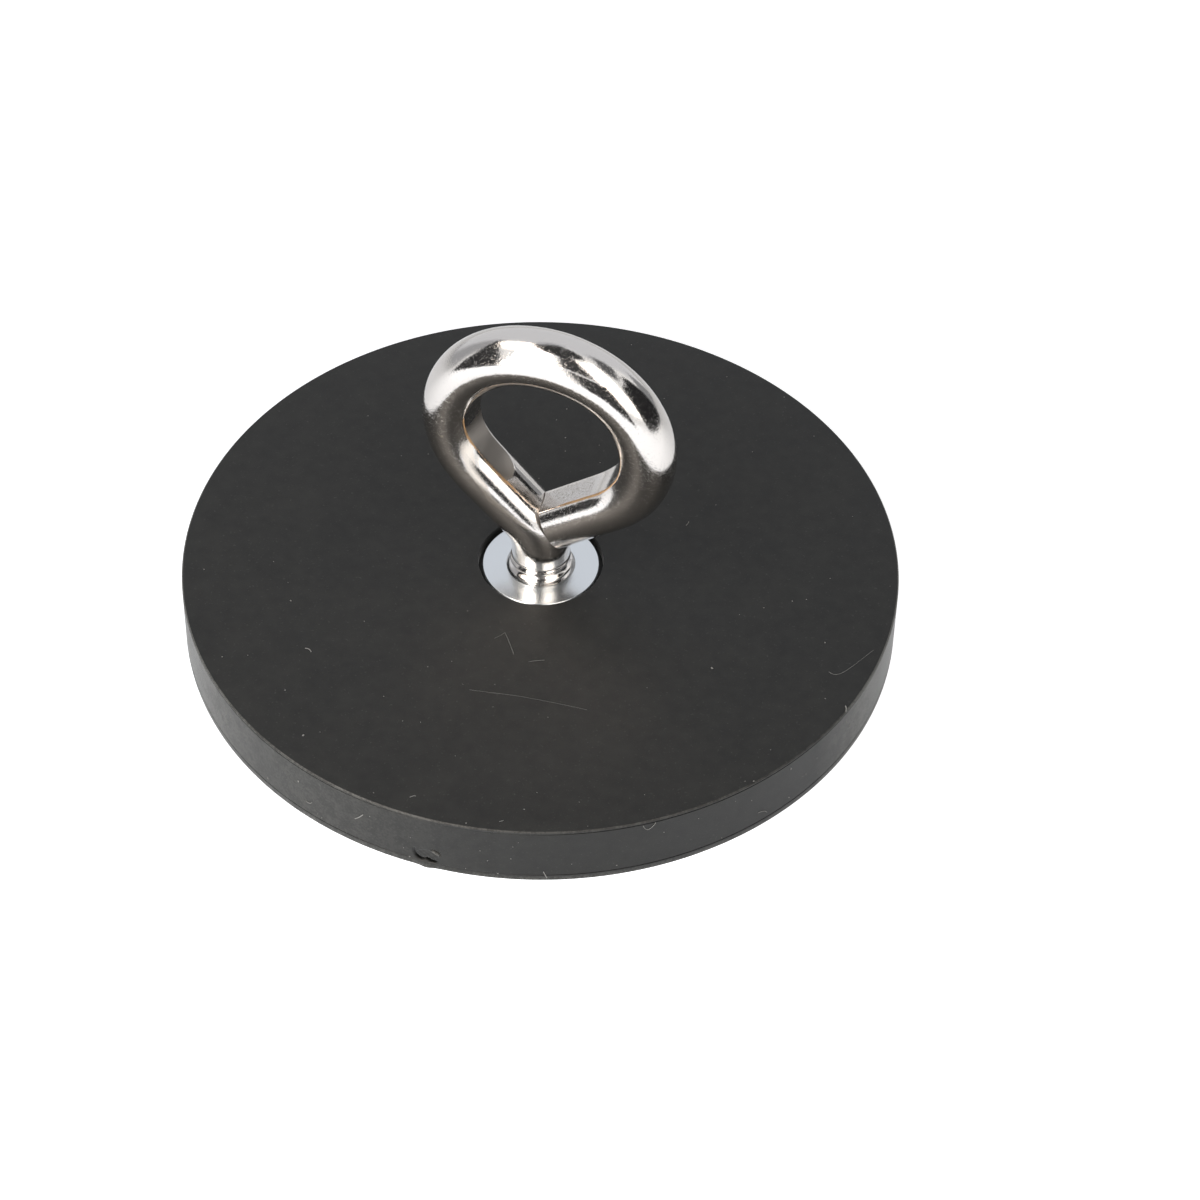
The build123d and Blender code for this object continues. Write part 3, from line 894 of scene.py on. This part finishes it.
def eye_wire():
    """The whole bolt: the shank, the bent wire with its flat, and the sheared end closed by rings that
    shrink to its middle. Gives the shell, and at its vertices the marks on the plating with their painted
    reflection and painted shade."""
    body_s = np.arange(0, closing_s + 3, wire_step)[:, None]
    inward, across, angle = section(body_s[:, 0])
    body = place_rings(body_s, inward, across)
    shank = shank_rows(angle[:1])
    inward, across, tail_angle = section(body_s[-1])
    stop = end_length(inward[0] * end_round, across[0] * end_round)
    tail_s = body_s[-1] + (stop - body_s[-1]) * np.linspace(0, 1, tail_rings + 1)[1:, None]
    tail = place_rings(tail_s, inward, across)
    share = np.array(end_rings)[:, None]
    face_s = end_length(inward * share, across * share) + end_proud * (share < 0.98)
    face = place_rings(face_s, inward * share, across * share)
    last = place_rings(end_length(np.zeros(1), np.zeros(1)) + end_proud, np.zeros(1), np.zeros(1))[0]

    on_body = wear_and_painted_marks(body_s + 0 * angle, angle)
    on_tail = wear_and_painted_marks(tail_s, tail_angle + 0 * tail_s)
    plain = 0 * shank[..., 0]
    wear_and_painted_light = {mark: np.concatenate([plain, on_body[mark], on_tail[mark]]).reshape(-1) for mark in on_body}
    rows = np.concatenate([shank, body, tail, face])
    sheared = np.arange(rows.shape[0]) >= len(rows) - len(face)
    wear_and_painted_light["sheared"] = np.append(np.repeat(sheared, rows.shape[1]), [0, 1])
    return shell(rows, (0, 0, bolt_foot_z), last), wear_and_painted_light


def bright_nickel(tree):
    """Nickel plate over bent steel wire: a grey mirror with fine frosted pits, which fray the edges of what
    it shows. The mandrel bared a copper undercoat along the edges of the flat and dulled the flat, and the
    leg has a rougher band of scuffs. Two marks also paint light: the band of scuffs has a warm lighter
    tint, a painted reflection of the table, and a fainter dull patch on the closing leg's flat is a painted
    shade that darkens its reflection."""
    place = node(tree, "TexCoord").outputs["Object"]
    pits = node(tree, "TexNoise", {"Vector": place, "Scale": 1 / (pit_pitch * MM), "Detail": 2.0})
    waves = node(tree, "TexNoise", {"Vector": place, "Scale": 1 / (wave_pitch * MM), "Detail": 2.0})
    ragged = node(tree, "Math", {0: pits, 1: 0.9, 2: -0.45}, operation="MULTIPLY_ADD")
    frost = node(tree, "MapRange", {"Value": pits, "From Min": 0.54, "From Max": 0.64})
    tone = linear("e2deda")
    rough = node(tree, "MapRange", {"Value": waves, "To Min": 0.06, "To Max": 0.13})
    rough = node(tree, "Mix", {"Factor": frost, "A": rough, "B": 0.25})
    for mark, colour, roughness in worn_and_painted_finishes:
        mark_share = node(tree, "Attribute", attribute_name=mark).outputs["Fac"]
        edge = node(tree, "Math", {0: mark_share, 1: ragged}, operation="ADD")
        cover = node(tree, "MapRange", {"Value": edge, "From Min": 0.2, "From Max": 0.7},
                     interpolation_type="SMOOTHSTEP")
        tone = node(tree, "Mix", {"Factor": cover, "A": tone, "B": linear(colour)}, data_type="RGBA")
        rough = node(tree, "Mix", {"Factor": cover, "A": rough, "B": roughness})
    small = node(tree, "Bump", {"Height": pits, "Strength": 0.7, "Distance": 0.009 * MM})
    bump = node(tree, "Bump", {"Height": waves, "Strength": 0.3, "Distance": 0.01 * MM, "Normal": small})
    return node(tree, "BsdfPrincipled", {
        "Base Color": tone, "Metallic": 1.0, "Roughness": rough, "Normal": bump})


bolt_shell, bolt_wear_and_painted_light = eye_wire()
piece("bent_eye_bolt", [(bolt_shell, False)], finish("nickel_plated_wire", bright_nickel),
      "eye_bolt", hard_angle=50, wear_and_painted_light=bolt_wear_and_painted_light)


# ---- Dust and lint ----
# Pale specks of dust and a few short textile fibres, which lie on the rubber and cling to it, on its top
# face and on the front of its wall.

# The larger specks: (x, y, size) on the top face, and (along the wall from -Y, height, size) on the wall.
top_specks = [
    (-38.3, -15.4, 0.8), (-26.3, -16.8, 1.0), (-30.5, -28.2, 0.9), (-21.4, -30.7, 0.9), (-16.7, -36.7, 1.5),
    (11.6, -38.8, 0.8), (6.0, -43.0, 0.9), (25.3, -10.3, 1.6), (31.2, 3.6, 1.0), (36.9, -1.7, 1.0),
    (35.3, -25.8, 1.1), (-4.3, 21.6, 0.8)]
wall_specks = [
    (-31.2, 4.1, 1.7), (-31.7, 1.4, 1.0), (-21.4, 1.8, 1.5), (-16.0, 5.5, 1.7), (-13.2, 1.7, 0.9),
    (-0.7, 1.0, 1.1), (9.9, 0.9, 1.1), (11.4, 3.7, 0.9), (47.0, 7.0, 1.6), (47.0, 1.9, 0.9),
    (58.5, 4.9, 1.7), (57.6, 6.3, 1.0)]
speck_r = 0.10  # dust is finer, and is drawn this coarse to show
fine_size = (0.4, 0.75)  # smallest and largest of the small specks between them
fine_on_top, fine_on_wall = 70, 24
fine_along, fine_inset = (-35, 65), 1  # the stretch of the wall they lie on, and how far inside its edges
lint_cloud = 3.0  # its tone changes over this length

# Fibres as lists of points, given in the same ways, with a radius each.
top_fibres = [
    (0.050, [(-21.7, -23.6), (-21.2, -23.6), (-20.8, -23.9)]),
    (0.013, [(-0.9, -14.4), (-0.4, -13.8), (0.0, -13.1)]),
    (0.018, [(0.0, -13.1), (1.0, -14.4), (2.2, -16.1)]),
    (0.016, [(4.3, -16.7), (5.1, -16.2), (6.0, -15.8)]),
    (0.009, [(-0.8, -23.3), (2.8, -22.7), (6.2, -22.2), (13.4, -21.7)]),
    (0.015, [(38.7, -6.2), (39.7, -6.2), (40.6, -5.4), (41.6, -3.3), (42.8, -0.9)]),
    (0.024, [(9.5, -41.5), (9.7, -41.4), (9.9, -41.2)]),
    (0.028, [(-1.5, -41.5), (-1.2, -41.2), (-0.9, -41.1)]),
    (0.030, [(15.0, 11.7), (15.1, 12.1), (15.1, 12.5)]),
    (0.070, [(42.1, -10.9), (42.3, -11.2), (42.4, -11.7)])]
wall_fibres = [
    (0.060, [(-7.7, 4.4), (-7.1, 5.0), (-6.6, 5.7)]),
    (0.060, [(15.2, 1.6), (15.4, 1.0), (15.6, 0.5)]),
    (0.045, [(-14.9, 2.9), (-14.4, 2.8), (-14.0, 3.2)]),
    (0.035, [(26.8, 7.9), (27.4, 7.1), (28.0, 7.5), (28.3, 8.0)]),
    (0.030, [(42.1, 2.6), (42.9, 2.4), (43.5, 1.8)])]


def fine_dust(draw, count, low, high):
    """Small specks thrown evenly over a rectangle between two corners, of sizes between the two given."""
    return draw.uniform((*low, fine_size[0]), (*high, fine_size[1]), (count, 3))


def on_top(places, height):
    """Points on the top face, lifted by a height."""
    return np.concatenate([places, disc_h + height + 0 * places[..., :1]], axis=-1)


def on_wall(places, height):
    """Points on the wall, given along it and up it, lifted off it by a height."""
    turn, reach = places[..., 0] / disc_r, disc_r + height
    return np.stack([reach * np.sin(turn), -reach * np.cos(turn), places[..., 1]], axis=-1)


def specks(places, lay):
    """Six-sided flakes, each of its own length, width and turn: a ring of corners whose radius swings by
    cosines of the angle, sunk into the rubber by a hair, with a middle point above and one below."""
    count = np.arange(len(places))[:, None]
    around = np.arange(6) * np.pi / 3 + count * 2.4
    reach = speck_r * places[:, 2:] * (1 + 0.25 * np.cos(2 * around + count) + 0.15 * np.cos(5 * around))
    middle = places[:, None, :2]
    ring = middle + reach[..., None] * np.stack([np.cos(around), np.sin(around)], axis=-1)
    points = np.concatenate([lay(ring, 0.01), lay(middle, 0.09), lay(middle, -0.02)], axis=1)
    sides = [(at, (at + 1) % 6, 6) for at in range(6)] + [((at + 1) % 6, at, 7) for at in range(6)]
    return [(one, sides) for one in points]


def fibre(radius, line, lay):
    """A round fibre along a smooth line through a few points, a polynomial of the length, lying on the
    rubber. Its ends close on a point each."""
    line = np.array(line)
    fine, along = np.linspace(0, 1, 24), np.linspace(0, 1, len(line))
    power = min(len(line) - 1, 3)
    flat = np.stack([np.polyval(np.polyfit(along, column, power), fine) for column in line.T], axis=1)
    way = np.gradient(flat, axis=0)
    beside = np.stack([-way[:, 1], way[:, 0]], axis=1) / np.hypot(*way.T)[:, None]
    rows = np.stack([lay(flat + beside * radius * np.cos(turn), radius * (0.9 + np.sin(turn)))
                     for turn in np.arange(6) * np.pi / 3], axis=1)
    return shell(rows, lay(flat[0], radius * 0.9), lay(flat[-1], radius * 0.9))


def pale_lint(tree):
    """Textile dust: matt and grey, because so thin a layer lets the black show through, with a faint change
    of tone from one speck to the next."""
    place = node(tree, "TexCoord").outputs["Object"]
    change = node(tree, "TexNoise", {"Vector": place, "Scale": 1 / (lint_cloud * MM)})
    tone = node(tree, "Mix", {"Factor": change, "A": linear("7c7a74"), "B": linear("a4a29c")},
                data_type="RGBA")
    return node(tree, "BsdfPrincipled", {"Base Color": tone, "Roughness": 0.9})


draw = np.random.default_rng(8)
fine_top = fine_dust(draw, fine_on_top, (-disc_r, -disc_r), (disc_r, disc_r))
from_middle = np.hypot(fine_top[:, 0], fine_top[:, 1])
fine_top = fine_top[(from_middle > well_r + 1) & (from_middle < disc_r - 0.5)]
fine_wall = fine_dust(
    draw, fine_on_wall, (fine_along[0], fine_inset), (fine_along[1], disc_h - fine_inset))
dust = specks(np.concatenate([top_specks, fine_top]), on_top)
dust += specks(np.concatenate([wall_specks, fine_wall]), on_wall)
dust += [fibre(radius, line, on_top) for radius, line in top_fibres]
dust += [fibre(radius, line, on_wall) for radius, line in wall_fibres]
piece("dust_and_lint", [(one, False) for one in dust], finish("textile_dust", pale_lint))
